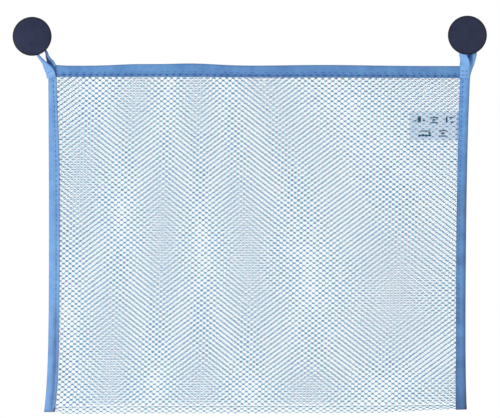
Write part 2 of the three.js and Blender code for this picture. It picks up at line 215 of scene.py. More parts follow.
# Net
CELL_PITCH = 6.98 * MM
ROW_PITCH = 2.594 * MM
YARN = 0.17 * MM  # radius on the slants
BAR_YARN = 0.27 * MM  # radius where two yarns meet
YARN_TWIST = 0.9 * MM
YARN_SIDES = 4
KNIT_STATIONS = np.array([-0.11, 0.11, 0.25, 0.39, 0.61, 0.75])  # shares of a cell
KNIT_LEVELS = np.array([1.0, 1.0, 0.0, -1.0, -1.0, 0.0])  # how far the yarn swings at them
BAR_HALF = 0.25 * MM  # half the distance between two yarns where they meet
YARN_STRAY = 0.2 * MM  # unevenness of the knitting
YARN_UNEVEN = 0.12  # and of the radius, as a share
YARN_MOST = 2  # largest chance value for both
KNIT_SEED = 11
YARN_STEP = 0.14 * MM  # how far one yarn lies before the other where they meet
NET_NEAR = 0.2 * MM  # distance over which a direction is taken
NET_COVER = 0.36  # share of the cut that the yarns cover
NET_LEAN = 0.0153  # sideways for each length down
NET_TUCK = 5 * MM  # how far the net reaches into the side tapes
NET_RISE = 9.5 * MM  # and into the hems
SEAM_DIP = 1.1 * MM  # inwards at the edge of a side tape
SEAM_REACH = 9 * MM  # how far from that edge the dip begins
FRONT_WAVE = (0.5 * MM, 37 * MM, 52 * MM, 1)  # depth, length of a radian across and down, and start
FRONT_EASE = 40 * MM  # how far from the side tapes these waves are full
FOLD_DROP = 6.6 * MM  # from the straight part of the net to the crease at its bottom
FOLD_POWER = 1.5
FOLD_POINTS = 80
FOLD_SHORT = 0.4  # share of the drop at the side tapes
FOLD_EASE = (16 * MM, 120 * MM)  # how far from the left and the right side tape it eases off
FOLD_EASED = 0.25  # share of that ease within the tapes

# How the back net is drawn in against the front net, for shares a across and d down: the factors of 1, a, d,
# a a, a d, d d and of a gathered spot, whose place and spread are shares across and whose fade is one down
BACK_GATHER = np.array([0.3, 21.7, -4.5, -8.4, 8.8, 1.4, 7.1]) * MM
BACK_SLIP = np.array([1.0, -11.9, 3.4, 5.1, 4.4, -0.3, 2.7]) * MM
BACK_SETTLE = 0.85  # share of the way down from which its rows come level with the fold
BACK_ROUNDS = 8
SPOT_PLACE = 0.333
SPOT_SPREAD = 0.206
SPOT_FADE = 0.517

# How the bag hangs
LEFT_BELLY = 0.8 * MM
LEFT_FLARE = 4.4 * MM
FLARE_POWER = 10
RIGHT_PULL = 5.8 * MM
RIGHT_EASE = 0.31
RIGHT_DRAW = 1.95 * MM
RIGHT_FLARE = 1.7 * MM
TOP_HUMPS = np.array([  # place, rise and reach of each
    (-206, 1.1, 12), (-118, 1.5, 28), (-62, 2.4, 36), (75, 1.0, 58),
]) * MM
TOP_SAG = 0.25 * MM
TOP_FADE = 8 * MM
HEM_TILT = (0.7 * MM, 10 * MM)  # of the hem's lower edge, up at the left, and its reach
BOTTOM_RISE = np.array([-0.55, 5.8, -11.1, 7.9]) * MM  # factors of 1, a, a a and a a a

# Label, a little smaller than its solid at the free end and at the lower edge
LABEL_SHORT = 2.5 * MM
LABEL_RAISED = 1.3 * MM
LABEL_TUCK = 3 * MM  # into the seam
LABEL_THICK = 0.25 * MM
LABEL_CLEAR = 1.05 * MM  # from the back net
LABEL_GRID = (61, 33)  # points along and up
LABEL_CURL = (0.9 * MM, 16 * MM, 0.4)  # of the free end's lower corner, its reach, and share of it above
LABEL_WAVE = (0.25 * MM, 6 * MM, 9 * MM)  # depth, and length of a radian along and up
LABEL_RIB = 0.35 * MM
PRINT_SOFT = 0.25 * MM  # half the width of a mark's soft rim
LABEL_MARKS = (  # in millimetres: start, length, height above the lower edge and half thickness
    (7.3, 2.6, 21.5, 0.7), (11.0, 3.4, 23.0, 3.3), (16.2, 2.6, 21.8, 0.7),
    (23.8, 8.4, 24.8, 0.6), (26.2, 3.6, 22.4, 0.8), (24.2, 7.6, 19.6, 0.6),
    (39.8, 1.8, 22.4, 3.0), (43.0, 4.8, 24.8, 0.7), (45.0, 3.0, 20.0, 0.9),
    (14.2, 10.0, 11.0, 0.6), (12.2, 13.2, 6.4, 0.9), (22.4, 2.6, 8.8, 1.0),
    (33.4, 7.8, 11.4, 0.6), (35.2, 4.0, 8.8, 0.8), (33.0, 8.2, 5.8, 0.6),
)

# Knobs and cups, along the axis from the wall
KNOB_BACK = 20 * MM
KNOB_EDGE = 5 * MM  # thickness of the rim
KNOB_ROUND = 1.6 * MM
KNOB_CROWN = 1.2 * MM
KNOB_SHADE_INSET = 1.0 * MM  # how far inside the round edge the face's painted shade begins
NECK_RADIUS = 4.5 * MM
NECK_START = 8.3 * MM
NECK_FILLET = 0.8 * MM
BORE_RADIUS = 2.5 * MM
POCKET_RADIUS = 3.3 * MM
POCKET_END = 23 * MM
CUP_LIP = 1.2 * MM
CUP_CONTACT = 7 * MM
CUP_HOLLOW = 2.4 * MM
CUP_SHOULDER = 7 * MM  # radius
CUP_ROUND = 0.5 * MM
CUP_DEPTH = 8 * MM
STEM_RADIUS = 2.2 * MM
BARB_RADIUS = 3 * MM
BARB_LENGTH = 2.4 * MM
BARB_EDGE = 0.8 * MM
AXIS_POINT = 0.25 * MM  # radius at which a profile ends beside the axis
TURN_STEPS = 96
ANCHOR_DROOP = {"left": 0.053, "right": 0.0}  # downwards for each length from the wall


def corners(node):
    """Lowest and highest corner of a solid of the frame."""
    low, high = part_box(node)
    return np.array(low), np.array(high)


def way_along(points):
    """Distance along a line of points, from its first one."""
    return np.concatenate([[0.0], np.cumsum(np.linalg.norm(np.diff(points, axis=0), axis=1))])


def fold_reach(radius, slant, width):
    """Half the width of the flat tape whose folded section is this wide."""
    middle_radius = radius - TAPE / 2
    turn = math.pi / 2 - slant
    straight = (width - TAPE / 2 - middle_radius * (1 - math.cos(turn))) / math.cos(slant)
    return middle_radius * turn + straight


# Sizes of the solids in the frame, and what follows from them
LEFT_LOW, LEFT_HIGH = corners("left_side_binding")
RIGHT_LOW, RIGHT_HIGH = corners("right_side_binding")
HEM_LOW, HEM_HIGH = corners("front_hem")
LABEL_LOW, LABEL_HIGH = corners("care_label")
BAG_LEFT, INNER_LEFT = LEFT_LOW[0], LEFT_HIGH[0]
INNER_RIGHT, BAG_RIGHT = RIGHT_LOW[0], RIGHT_HIGH[0]
BAG_BOTTOM, BAG_TOP = LEFT_LOW[2], LEFT_HIGH[2]
BAG_HEIGHT = BAG_TOP - BAG_BOTTOM
BAG_MIDDLE = (BAG_LEFT + BAG_RIGHT) / 2
BAG_Y = (LEFT_LOW[1] + LEFT_HIGH[1]) / 2
HEM_BOTTOM = HEM_LOW[2]
HEM_WIDTH = BAG_TOP - HEM_BOTTOM
HEM_FOLD = (HEM_HIGH[1] - HEM_LOW[1]) / 2  # outer radius
HEM_REACH = fold_reach(HEM_FOLD, 0.0, HEM_WIDTH)
SIDE_WIDTH = INNER_LEFT - BAG_LEFT
SIDE_HEIGHTS = np.linspace(BAG_BOTTOM, BAG_TOP, SIDE_GRID[0])
FLAP_HALF = (LEFT_HIGH[1] - LEFT_LOW[1]) / 2
FLAP_RUN = SIDE_WIDTH - SIDE_FOLD
SLANT = math.acos(SIDE_FOLD / math.hypot(FLAP_HALF, FLAP_RUN)) - math.atan2(FLAP_RUN, FLAP_HALF)
SIDE_REACH = fold_reach(SIDE_FOLD, SLANT, SIDE_WIDTH)
NET_OFFSET = BAG_Y - (HEM_LOW[1] + HEM_HIGH[1]) / 2  # from the middle of the bag to a net
FOLD_Z = corners("net_fold")[1][2]
PANEL_WIDTH = INNER_RIGHT - INNER_LEFT
PANEL_HEIGHT = HEM_BOTTOM - FOLD_Z
SWING = ROW_PITCH / 2 - BAR_HALF
FOLD_STEPS = np.linspace(0, 1, FOLD_POINTS) * FOLD_DROP
FOLD_WIDTHS = NET_OFFSET * (1 - (FOLD_STEPS / FOLD_DROP) ** FOLD_POWER)
FOLD_WAY = way_along(np.stack([FOLD_STEPS, FOLD_WIDTHS], -1))
TIP_ROW = round((PANEL_HEIGHT + FOLD_WAY[-1]) / ROW_PITCH - 0.5) + 0.5  # bars lie on the crease
TIP = TIP_ROW * ROW_PITCH
LABEL_LENGTH = LABEL_HIGH[0] - LABEL_LOW[0] + LABEL_TUCK
LABEL_HEIGHT = LABEL_HIGH[2] - LABEL_LOW[2]


class Signal:
    """An output of a node that takes part in Python arithmetic: each operation adds a Math node."""

    def __init__(self, graph, node, output):
        self.graph = graph
        self.node = node
        self.socket = None if output is None else node.outputs[output]

    def out(self, name):
        """Another output of the same node."""
        return Signal(self.graph, self.node, name)

    def math(self, operation, *others):
        """A Math node whose first value is this one."""
        return self.graph.node("Math", {"operation": operation}, dict(enumerate((self, *others))))

    def __add__(self, other):
        return self.math("ADD", other)

    def __sub__(self, other):
        return self.math("SUBTRACT", other)

    def __rsub__(self, other):
        return self.graph.node("Math", {"operation": "SUBTRACT"}, {0: other, 1: self})

    def __mul__(self, other):
        return self.math("MULTIPLY", other)

    __radd__ = __add__
    __rmul__ = __mul__

    def wave(self, length):
        """Sine wave of this length."""
        return (self * (TURN / length)).math("SINE")

    def size(self):
        """The value without its sign."""
        return self.math("ABSOLUTE")

    def most(self, other):
        """The larger of two values."""
        return self.math("MAXIMUM", other)

    def between(self, low, high):
        """0 up to low, 1 from high on, smooth between."""
        settings = {"interpolation_type": "SMOOTHSTEP"}
        return self.graph.node("MapRange", settings, {"Value": self, "From Min": low, "From Max": high})


class Graph:
    """A tree of shader nodes."""

    def __init__(self, tree):
        self.tree = tree

    def node(self, kind, settings=None, inputs=None, output=0):
        """A new node of this kind: its settings first, then the values or links of its sockets."""
        node = self.tree.nodes.new("ShaderNode" + kind)
        for name, value in (settings or {}).items():
            setattr(node, name, value)
        for name, value in (inputs or {}).items():
            self.join(value, node.inputs[name])
        return Signal(self, node, output)

    def join(self, value, socket):
        """Links a signal to a socket, or sets a plain value on it."""
        if isinstance(value, Signal):
            self.tree.links.new(value.socket, socket)
        else:
            socket.default_value = value

    def mix(self, share, first, second):
        """Colour between two others, each of them a signal or a shade."""
        first, second = (end if isinstance(end, Signal) else colour(end) for end in (first, second))
        return self.node("Mix", {"data_type": "RGBA"}, {0: share, 6: first, 7: second}, 2)

    def seen(self):
        """1 for what the camera sees, straight or mirrored, and 0 for light on its way to the object."""
        path = self.node("LightPath")
        return path.out("Is Camera Ray").most(path.out("Is Glossy Ray")).most(path.out("Is Transmission Ray"))


class Finish(Graph):
    """A material with one Principled surface."""

    def __init__(self, name):
        self.material = bpy.data.materials.new(name)
        self.material.use_nodes = True
        super().__init__(self.material.node_tree)
        self.surface = self.tree.nodes["Principled BSDF"]

    def place(self):
        """Place on the piece."""
        return self.node("TexCoord").out("Object")

    def noise(self, scale, detail=2.0):
        """Cloudy values about a half, finer with a larger scale."""
        return self.node("TexNoise", {}, {"Vector": self.place(), "Scale": scale, "Detail": detail})

    def strip(self):
        """Distances along and across the piece, from its own map."""
        parts = self.node("SeparateXYZ", {}, {0: self.node("UVMap", {"uv_map": "strip"})})
        return parts.out("X"), parts.out("Y")

    def twist(self, step):
        """Wave of a yarn's twist, with this length of a turn."""
        along, around = self.strip()
        return (along * (1 / step) + around).wave(1)

    def with_painted_shade(self, share, deep, pale, dark):
        """Colour between two shades, and the third one, that of painted shade, as far as the piece's own
        attribute says.
        """
        painted_shade = self.node("Attribute", {"attribute_name": "painted_shade"}).out("Fac")
        return self.mix(painted_shade, self.mix(share, deep, pale), dark)

    def relief(self, height, distance, strength):
        """Normals of a surface with this height in shares of distance."""
        return self.node("Bump", {}, {"Height": height, "Distance": distance, "Strength": strength})

    def set(self, **values):
        """Gives the material values or links for its sockets, named with underscores for spaces."""
        for name, value in values.items():
            self.join(value, self.surface.inputs[name.replace("_", " ")])
        return self.material


def colour(shade):
    """Linear colour of a shade from 0 to 255 as it shows on a screen."""
    share = np.array(shade) / 255
    linear = np.where(share <= 0.04045, share / 12.92, ((share + 0.055) / 1.055) ** 2.4)
    return (*linear.tolist(), 1.0)


def tape_finish(name, *shades):
    """Woven tape: fine crossing ribs with painted shade between them, soft cloudy dye, painted shade along
    the folds and cut edges.
    """
    finish = Finish(name)
    along, across = finish.strip()
    weave = across.wave(TAPE_RIBS[0]) * along.wave(TAPE_RIBS[1])
    twill = (along + across).wave(TAPE_RIBS[2])
    cloud = finish.noise(scale=90.0, detail=4.0)
    speck = finish.noise(scale=1400.0)
    shade = 0.5 + 0.10 * weave + 0.08 * twill + 1.1 * (cloud - 0.5) + 0.5 * (speck - 0.5)
    height = 0.5 + 0.3 * weave + 0.2 * twill + 0.3 * speck
    return finish.set(
        Base_Color=finish.with_painted_shade(shade.between(0.0, 1.0), *shades),
        Roughness=0.5 + 0.12 * weave.size() + 0.2 * (cloud - 0.5),
        Normal=finish.relief(height, distance=0.12 * MM, strength=0.6),
        Sheen_Weight=0.12,
        Sheen_Roughness=0.4,
        Specular_IOR_Level=0.45,
    )


def net_finish():
    """Knitted yarn: twisted filaments with painted shade in the twist, a little uneven in colour along each
    yarn, and painted shade in the bars where yarns lie on each other.
    """
    finish = Finish("net_yarn")
    twist = finish.twist(YARN_TWIST)
    cloud = finish.noise(scale=60.0)
    fleck = finish.noise(scale=900.0)
    shade = 0.5 + 0.22 * twist + 0.8 * (cloud - 0.5) + 0.8 * (fleck - 0.5)
    return finish.set(
        Base_Color=finish.with_painted_shade(shade.between(0.0, 1.0), *NET_SHADES),
        Roughness=0.55 + 0.15 * twist,
        Normal=finish.relief(0.5 + 0.5 * twist, distance=0.05 * MM, strength=0.5),
        Specular_IOR_Level=0.2,
    )


def thread_finish(name, *shades):
    """Sewing thread: tight twist, with painted shade between the plies."""
    finish = Finish(name)
    twist = finish.twist(THREAD_TWIST)
    fleck = finish.noise(scale=1500.0)
    shade = 0.5 + 0.3 * twist + 0.8 * (fleck - 0.5)
    return finish.set(
        Base_Color=finish.mix(shade.between(0.0, 1.0), *shades),
        Roughness=0.55 + 0.1 * twist,
        Normal=finish.relief(0.5 + 0.5 * twist, distance=0.06 * MM, strength=0.6),
        Specular_IOR_Level=0.4,
    )


def knob_finish():
    """Matt moulded plastic: fine spark-eroded grain, faint cloudiness, painted shade darkening the edge."""
    finish = Finish("matt_plastic")
    grain = finish.noise(scale=2600.0)
    cloud = finish.noise(scale=140.0, detail=4.0)
    return finish.set(
        Base_Color=finish.with_painted_shade((cloud + 0.4 * (grain - 0.5)).between(0.3, 0.7), *KNOB_SHADES),
        Roughness=0.58 + 0.25 * (grain - 0.5) + 0.1 * (cloud - 0.5),
        Normal=finish.relief(grain + 0.5 * cloud, distance=0.05 * MM, strength=0.5),
        Specular_IOR_Level=0.22,
    )


def cup_finish():
    """Soft glossy plastic: smooth, with faint flow marks and finger marks in the gloss."""
    finish = Finish("soft_plastic")
    flow = finish.noise(scale=260.0, detail=3.0)
    smear = finish.noise(scale=70.0, detail=5.0)
    return finish.set(
        Base_Color=finish.mix(flow.between(0.3, 0.7), *CUP_SHADES),
        Roughness=0.2 + 0.35 * smear.between(0.4, 0.7),
        Normal=finish.relief(flow, distance=0.04 * MM, strength=0.4),
        Specular_IOR_Level=0.5,
        Coat_Roughness=0.15,
        Coat_Weight=0.2 * smear,
    )


def label_finish():
    """Satin label: fine ribs and plain printed bars in two rows."""
    finish = Finish("satin_label")
    along, up = finish.strip()
    ribs = up.wave(LABEL_RIB)
    cloud = finish.noise(scale=200.0, detail=3.0)
    satin = finish.mix(cloud.between(0.3, 0.7), *LABEL_SHADES)
    return finish.set(
        Base_Color=finish.mix(printed_bars(along, up), satin, LABEL_INK),
        Roughness=0.5 + 0.12 * ribs,
        Normal=finish.relief(0.5 + 0.5 * ribs, distance=0.04 * MM, strength=0.4),
        Sheen_Weight=0.1,
    )


def printed_bars(along, up):
    """1 inside the printed marks, which are plain bars and blocks, and 0 outside them."""
    share = 0.0
    for start, length, level, thick in LABEL_MARKS:
        half = length / 2 * MM
        beside = (along - start * MM - half).size().between(half + PRINT_SOFT, half - PRINT_SOFT)
        above = (up - level * MM).size().between(thick * MM + PRINT_SOFT, thick * MM - PRINT_SOFT)
        share = share + beside * above
    return share


def floor_finish():
    """Plain pale floor, faintly cloudy, which fades to white towards its rim for the camera."""
    finish = Finish("pale_floor")
    cloud = finish.noise(scale=3.0, detail=3.0)
    finish.set(Base_Color=finish.mix(cloud, *FLOOR_SHADES), Roughness=0.7 + 0.1 * cloud)
    far = finish.node("VectorMath", {"operation": "LENGTH"}, {0: finish.place()}, 1)
    rim = math.hypot(FLOOR_DROP, FLOOR_RADIUS)
    fade = FLOOR_WHITE + (1 - FLOOR_WHITE) * far.between(FLOOR_DROP + FLOOR_FADE[0], rim - FLOOR_FADE[1])
    plain = Signal(finish, finish.surface, "BSDF")
    white = finish.node("Emission", {}, {"Color": WHITE, "Strength": 1.0})
    both = finish.node("MixShader", {}, {0: finish.seen() * fade, 1: plain, 2: white})
    finish.join(both, finish.tree.nodes["Material Output"].inputs["Surface"])
    return finish.material


def build_finishes():
    """Materials of all pieces by name."""
    tapes = {name: tape_finish(name, *shades) for name, shades in TAPE_SHADES.items()}
    threads = {name: thread_finish(name, *shades) for name, shades in THREAD_SHADES.items()}
    others = {"net": net_finish(), "knob": knob_finish(), "cup": cup_finish(), "label": label_finish()}
    return tapes | threads | others


def smooth(share):
    """Rises from 0 to 1 with share, level at both ends."""
    share = np.clip(share, 0, 1)
    return share * share * (3 - 2 * share)


def bell(distance, height, half):
    """Bell curve: height exp(-(distance / half)^2)."""
    return height * np.exp(-((distance / half) ** 2))


def unit(vectors):
    """The vectors at length 1."""
    return vectors / np.linalg.norm(vectors, axis=-1, keepdims=True)


def points_of(x, y, z):
    """Points from their three parts, each an array or one value for all."""
    return np.stack(np.broadcast_arrays(x, y, z), -1)


def through(keys, shares):
    """Smooth curve through keys: cubic pieces whose slope at a key is that of its neighbours' chord."""
    keys = np.asarray(keys, float)
    slopes = np.gradient(keys, axis=0)
    spot = np.clip(shares, 0, 1) * (len(keys) - 1)
    first = np.minimum(spot.astype(int), len(keys) - 2)
    t = (spot - first)[:, None]
    start, end = keys[first], keys[first + 1]
    leave, arrive = slopes[first], slopes[first + 1]
    return start + (end - start) * smooth(t) + leave * t * (1 - t) ** 2 - arrive * t * t * (1 - t)


def add_object(name, data):
    """A new object in the scene."""
    thing = bpy.data.objects.new(name, data)
    bpy.context.scene.collection.objects.link(thing)
    return thing


def add_mesh(name, points, faces, strip, material, painted_shade, sharp):
    """A piece from points, four-cornered faces and the map values of each face's corners.

    The faces are turned round where the signed volume of the closed skin is below zero.
    """
    a, b, c, d = (points[faces[:, k]] for k in range(4))
    volume = np.einsum("ij,ij->", a, np.cross(b, c)) + np.einsum("ij,ij->", a, np.cross(c, d))
    if volume < 0:
        faces = faces[:, ::-1]
        strip = strip[:, ::-1]
    mesh = bpy.data.meshes.new(name)
    mesh.vertices.add(len(points))
    mesh.vertices.foreach_set("co", points.astype(np.float32).ravel())
    mesh.loops.add(faces.size)
    mesh.loops.foreach_set("vertex_index", faces.astype(np.int32).ravel())
    mesh.polygons.add(len(faces))
    mesh.polygons.foreach_set("loop_start", np.arange(0, faces.size, 4, dtype=np.int32))
    mesh.update(calc_edges=True)
    layer = mesh.uv_layers.new(name="strip")
    layer.data.foreach_set("uv", strip.astype(np.float32).ravel())
    if painted_shade is not None:
        attribute = mesh.attributes.new("painted_shade", "FLOAT", "POINT")
        attribute.data.foreach_set("value", painted_shade.astype(np.float32).ravel())
    mesh.shade_smooth()
    mesh.set_sharp_from_angle(angle=math.radians(sharp))
    mesh.materials.append(material)
    piece = add_object(name, mesh)
    return piece


def swept(name, rings, along, around, material, painted_shade=None, sharp=SHARP_ANGLE):
    """Closed skins around stacks of rings, rings[tube, station, corner] being points.

    Neighbouring rings are joined by four-cornered faces, and each end is closed by a row of them across it.
    The map is along[tube, station] and around[corner], which has one value more than a ring has corners.
    """
    shape = rings.shape[:3]
    half = np.arange(shape[2] // 2 - 1)
    across = np.stack([half, half + 1, shape[2] - 2 - half, shape[2] - 1 - half], -1)

    def by_face(values, next_values):
        """Values of each face's corners, from those of the rings' corners and of the next corner round."""
        here, beside = np.broadcast_to(values, shape), np.broadcast_to(next_values, shape)
        walls = np.stack([here[:, :-1], beside[:, :-1], beside[:, 1:], here[:, 1:]], -1)
        ends = np.concatenate([here[:, 0][:, across[:, ::-1]], here[:, -1][:, across]])
        return np.concatenate([walls.reshape(-1, 4), ends.reshape(-1, 4)])

    index = np.arange(math.prod(shape)).reshape(shape)
    faces = by_face(index, np.roll(index, -1, 2))
    strip = np.stack([by_face(along[..., None], along[..., None]), by_face(around[:-1], around[1:])], -1)
    return add_mesh(name, rings.reshape(-1, 3), faces, strip, material, painted_shade, sharp)


def cloth(name, middle, normal, thickness, along, across, material, painted_shade=None, inside=0.0):
    """Tape or label of even thickness about the surface middle[station, strand], with its normals.

    The painted shade, which darkens the cloth, is at least inside on the side away from the normals.
    """
    outer = middle + normal * thickness / 2
    inner = middle - normal * thickness / 2
    rings = np.concatenate([outer, inner[:, ::-1]], 1)[None]
    around = np.concatenate([across, across[::-1], across[:1]])
    if painted_shade is not None:
        painted_shade = np.broadcast_to(painted_shade, middle.shape[:2])
        painted_shade = np.concatenate([painted_shade, np.maximum(painted_shade, inside)[:, ::-1]], 1)
    return swept(name, rings, along[None], around, material, painted_shade)


def hang(points):
    """Moves points of the flat bag to where it hangs, with a and d the shares of the way across and down.

    The left side bellies by a half sine of d and flares with a power of it. The right side moves by a falling
    exponential of d and flares too. What lies between takes its share of both. The top edge has bell-shaped
    humps, the hem's lower edge tilts, and the bottom edge rises by a cubic of a times the cube of d.
    """
    x, y, z = np.moveaxis(points, -1, 0)
    a = (x - BAG_LEFT) / (BAG_RIGHT - BAG_LEFT)
    drop = np.maximum(BAG_TOP - z, 0)
    d = np.clip(drop / BAG_HEIGHT, 0, 1)
    left = LEFT_BELLY * np.sin(math.pi * d) - LEFT_FLARE * d**FLARE_POWER
    right = RIGHT_PULL * np.exp(-d / RIGHT_EASE) - RIGHT_DRAW + RIGHT_FLARE * d**FLARE_POWER
    top = sum(bell(x - place, rise, reach) for place, rise, reach in TOP_HUMPS)
    tilt = bell(drop - HEM_WIDTH, *HEM_TILT) * (1 - 2 * a)
    bottom = np.polynomial.polynomial.polyval(a, BOTTOM_RISE) * d**3
    lift = bell(drop, top - TOP_SAG, TOP_FADE) + tilt + bottom
    return points_of(x + left * (1 - a) + right * a, y, z + lift)


def flap_short(outward, z):
    """How much narrower the flaps of a side tape are than full ones at this height."""
    above = z - BAG_BOTTOM if outward > 0 else z - BAG_TOP + FLAP_FADE[-1]
    return FLAP_SHORT[outward] * np.clip(above / FLAP_FADE[outward], 0, 1)


def flap_reach(outward, z):
    """From the middle of a side tape's fold to the edge of a flap."""
    return SIDE_REACH - flap_short(outward, z)


def seam_distance(x, z):
    """How far inside the edges of the side tapes a point lies; below zero within the tapes."""
    return np.minimum(x - INNER_LEFT + flap_short(-1, z), INNER_RIGHT + flap_short(1, z) - x)


def tuck_in(x, z):
    """Draws the net together past the edges of the side tapes, so that it reaches in by NET_TUCK at most."""
    past = np.maximum(-seam_distance(x, z), 0)
    short = past - NET_TUCK * (1 - np.exp(-past / NET_TUCK))
    return x + np.where(x < BAG_MIDDLE, short, -short)


def seam_dip(x, z):
    """How far the net lies inwards near a side seam: it dips under the tape's edge and follows its slant."""
    inside = seam_distance(x, z)
    return SEAM_DIP * smooth(1 - inside / SEAM_REACH) + np.maximum(-inside, 0) * math.tan(SLANT)


def fold_section(across, radius, slant):
    """Tape folded about its middle line: an arc of this radius, then two flaps that part by the slant.

    For distances across the tape from the middle of the fold, gives the distances inwards from the outside of
    the fold and sideways, and the two parts of the outward normal.
    """
    middle_radius = radius - TAPE / 2
    angle = np.clip(across / middle_radius, slant - math.pi / 2, math.pi / 2 - slant)
    rest = across - middle_radius * angle
    inwards = TAPE / 2 + middle_radius * (1 - np.cos(angle)) + np.abs(rest) * math.cos(slant)
    sideways = middle_radius * np.sin(angle) + rest * math.sin(slant)
    return inwards, sideways, -np.cos(angle), np.sin(angle)


def pucker(along, across, reach, step, inset, furrow):
    """Furrow of the stitches: a bell across their line, waves along it, over slow ripples of the tape."""
    slow = sum(np.sin(along / radian + start) for radian, start in RIPPLES)
    line = np.abs(across) - reach + inset + WANDER * slow / 2
    dents = bell(line, *furrow) * (FURROW_EVEN + (1 - FURROW_EVEN) * np.cos(TURN * along / step))
    return RIPPLE * slow / 2 * (np.abs(across) / reach) - dents


def tape_painted_shade(along, across, reach, fold_half, step, inset, shade, half):
    """Painted shade of a tape: on its fold, on its cut edges and, in patches, along the furrow of its
    stitches.
    """
    inside = np.abs(across) - reach
    drift = PATCH_DRIFT[0] * np.sin(along / PATCH_DRIFT[1])
    patches = PATCH_EVEN + (1 - PATCH_EVEN) * np.sin(TURN * along / step + drift)
    furrow = bell(inside + inset, shade, half) * patches
    return bell(across, FOLD_SHADE, fold_half) + bell(inside, *EDGE_SHADE) + furrow


def side_surface(outward, z, across):
    """Middle surface of a side tape and its normals: the folded section carried upwards, dented and hung."""
    z, across = np.broadcast_arrays(z, across)
    inwards, sideways, normal_in, normal_side = fold_section(across, SIDE_FOLD, SLANT)
    edge = BAG_RIGHT if outward > 0 else BAG_LEFT
    normal = points_of(-outward * normal_in, normal_side, 0.0)
    point = points_of(edge - outward * inwards, BAG_Y + sideways, z)
    relief = pucker(z, across, flap_reach(outward, z), SIDE_STITCH, SIDE_INSET[outward], SIDE_FURROW)
    return hang(point + normal * relief[..., None]), normal


def hem_surface(outward, x, across):
    """Middle surface of a hem and its normals: the folded section carried across the bag, dented and hung.

    outward is -1 for the front hem and 1 for the back one. Its ends follow the slant of the side tapes.
    """
    x, across = np.broadcast_arrays(x, across)
    inwards, sideways, normal_in, normal_side = fold_section(across, HEM_FOLD, 0.0)
    dip = np.maximum(-seam_distance(x, np.full_like(x, BAG_TOP)), 0) * math.tan(SLANT)
    normal = points_of(0.0, outward * normal_side, -normal_in)
    point = points_of(x, BAG_Y + outward * (NET_OFFSET - dip + sideways), BAG_TOP - inwards)
    relief = pucker(x, across, HEM_REACH, LONG_STITCH, HEM_INSET["lower"], HEM_FURROW)
    return hang(point + normal * relief[..., None]), normal


def side_tape(name, outward, material):
    """Side tape: its surface on a grid of heights and distances across the tape.

    Its lower end is dark, and darker upwards from one corner: on the left the inner corner, on the right the
    fold. It carries painted shade along its fold and edges, and more that grows towards the lower end.
    """
    z = SIDE_HEIGHTS[:, None]
    reach = flap_reach(outward, z)
    share = np.linspace(-1, 1, SIDE_GRID[1])
    across = share * reach
    middle, normal = side_surface(outward, z, across)
    places, tones = np.transpose(SIDE_PAINTED_SHADE[outward])
    furrow = (SIDE_INSET[outward], np.interp(BAG_TOP - z, places * MM, tones), TONE_HALF[outward])
    painted_shade = tape_painted_shade(z, across, reach, FOLD_HALF[outward], SIDE_PATCH, *furrow)
    beside = np.abs(across) - (0.0 if outward > 0 else reach)
    corner_dark = bell(z - BAG_BOTTOM, *CORNER_DARK) * bell(beside, 1, CORNER_DARK_WIDTH[outward])
    painted_shade = np.maximum(np.maximum(painted_shade, bell(z - BAG_BOTTOM, *CUT_SHADE)), corner_dark)
    around = share * SIDE_REACH
    return cloth(name, middle, normal, TAPE, z[:, 0], around, material, np.minimum(painted_shade, 1))


def hem_tape(name, outward, start, end, material):
    """Stretch of a hem: its surface on a grid of places along the bag and distances across the tape."""
    x = np.linspace(start, end, HEM_GRID[0])[:, None]
    across = np.linspace(-HEM_REACH, HEM_REACH, HEM_GRID[1])
    middle, normal = hem_surface(outward, x, across)
    painted_shade = tape_painted_shade(x, across, HEM_REACH, FOLD_HALF[0], LONG_STITCH, HEM_INSET["lower"], *HEM_SHADE)
    if outward < 0:
        painted_shade = np.maximum(painted_shade, loop_shadow(x))
    return cloth(name, middle, normal, TAPE, x[:, 0], across, material, painted_shade)


def loop_shadow(x):
    """How dark the front hem is beside the edges of the two loops."""
    edges = (np.abs(x - keys[1][0] * MM) - LOOP_WIDTHS[side] / 2 for side, keys in LOOP_KEYS.items())
    return sum(bell(beside, *LOOP_SHADOW) for beside in edges)


def stitch_row(name, surface, start, end, sewing, material):
    """Row of stitches along a surface: surface(places) gives points and normals.

    Each stitch is a tube over one step: it rises off the tape as the root of a half sine wave, thins towards
    both ends and leaves a gap to the next. Its place and length vary by seeded chance.
    """
    pitch, share_sewn, thread = sewing
    count = max(1, round(abs(end - start) / pitch))
    step = (end - start) / count
    share = np.linspace(0, 1, STITCH_STEPS)
    chance = np.random.default_rng(SEW_SEED + count).normal(size=(2, count, 1))
    stray, uneven = np.clip(chance, -STITCH_MOST, STITCH_MOST)
    middle = np.arange(count)[:, None] + 0.5 + STITCH_STRAY * stray
    places = start + step * (middle + share_sewn * (1 + STITCH_UNEVEN * uneven) * (share - 0.5))
    point, normal = surface(places)
    arch = np.abs(np.sin(math.pi * share))[:, None]
    centre = point + normal * (TAPE / 2 + thread * (STITCH_HEIGHT[0] + STITCH_HEIGHT[1] * np.sqrt(arch)))
    radius = thread * (STITCH_TAPER + (1 - STITCH_TAPER) * arch)
    forward = unit(np.gradient(centre, axis=1))
    beside = unit(np.cross(forward, normal))
    above = np.cross(beside, forward)
    turns = np.arange(STITCH_SIDES + 1) / STITCH_SIDES
    rings = [centre + radius * (math.cos(a) * beside + math.sin(a) * above) for a in turns[:-1] * TURN]
    return swept(name, np.stack(rings, 2), places, turns, material)


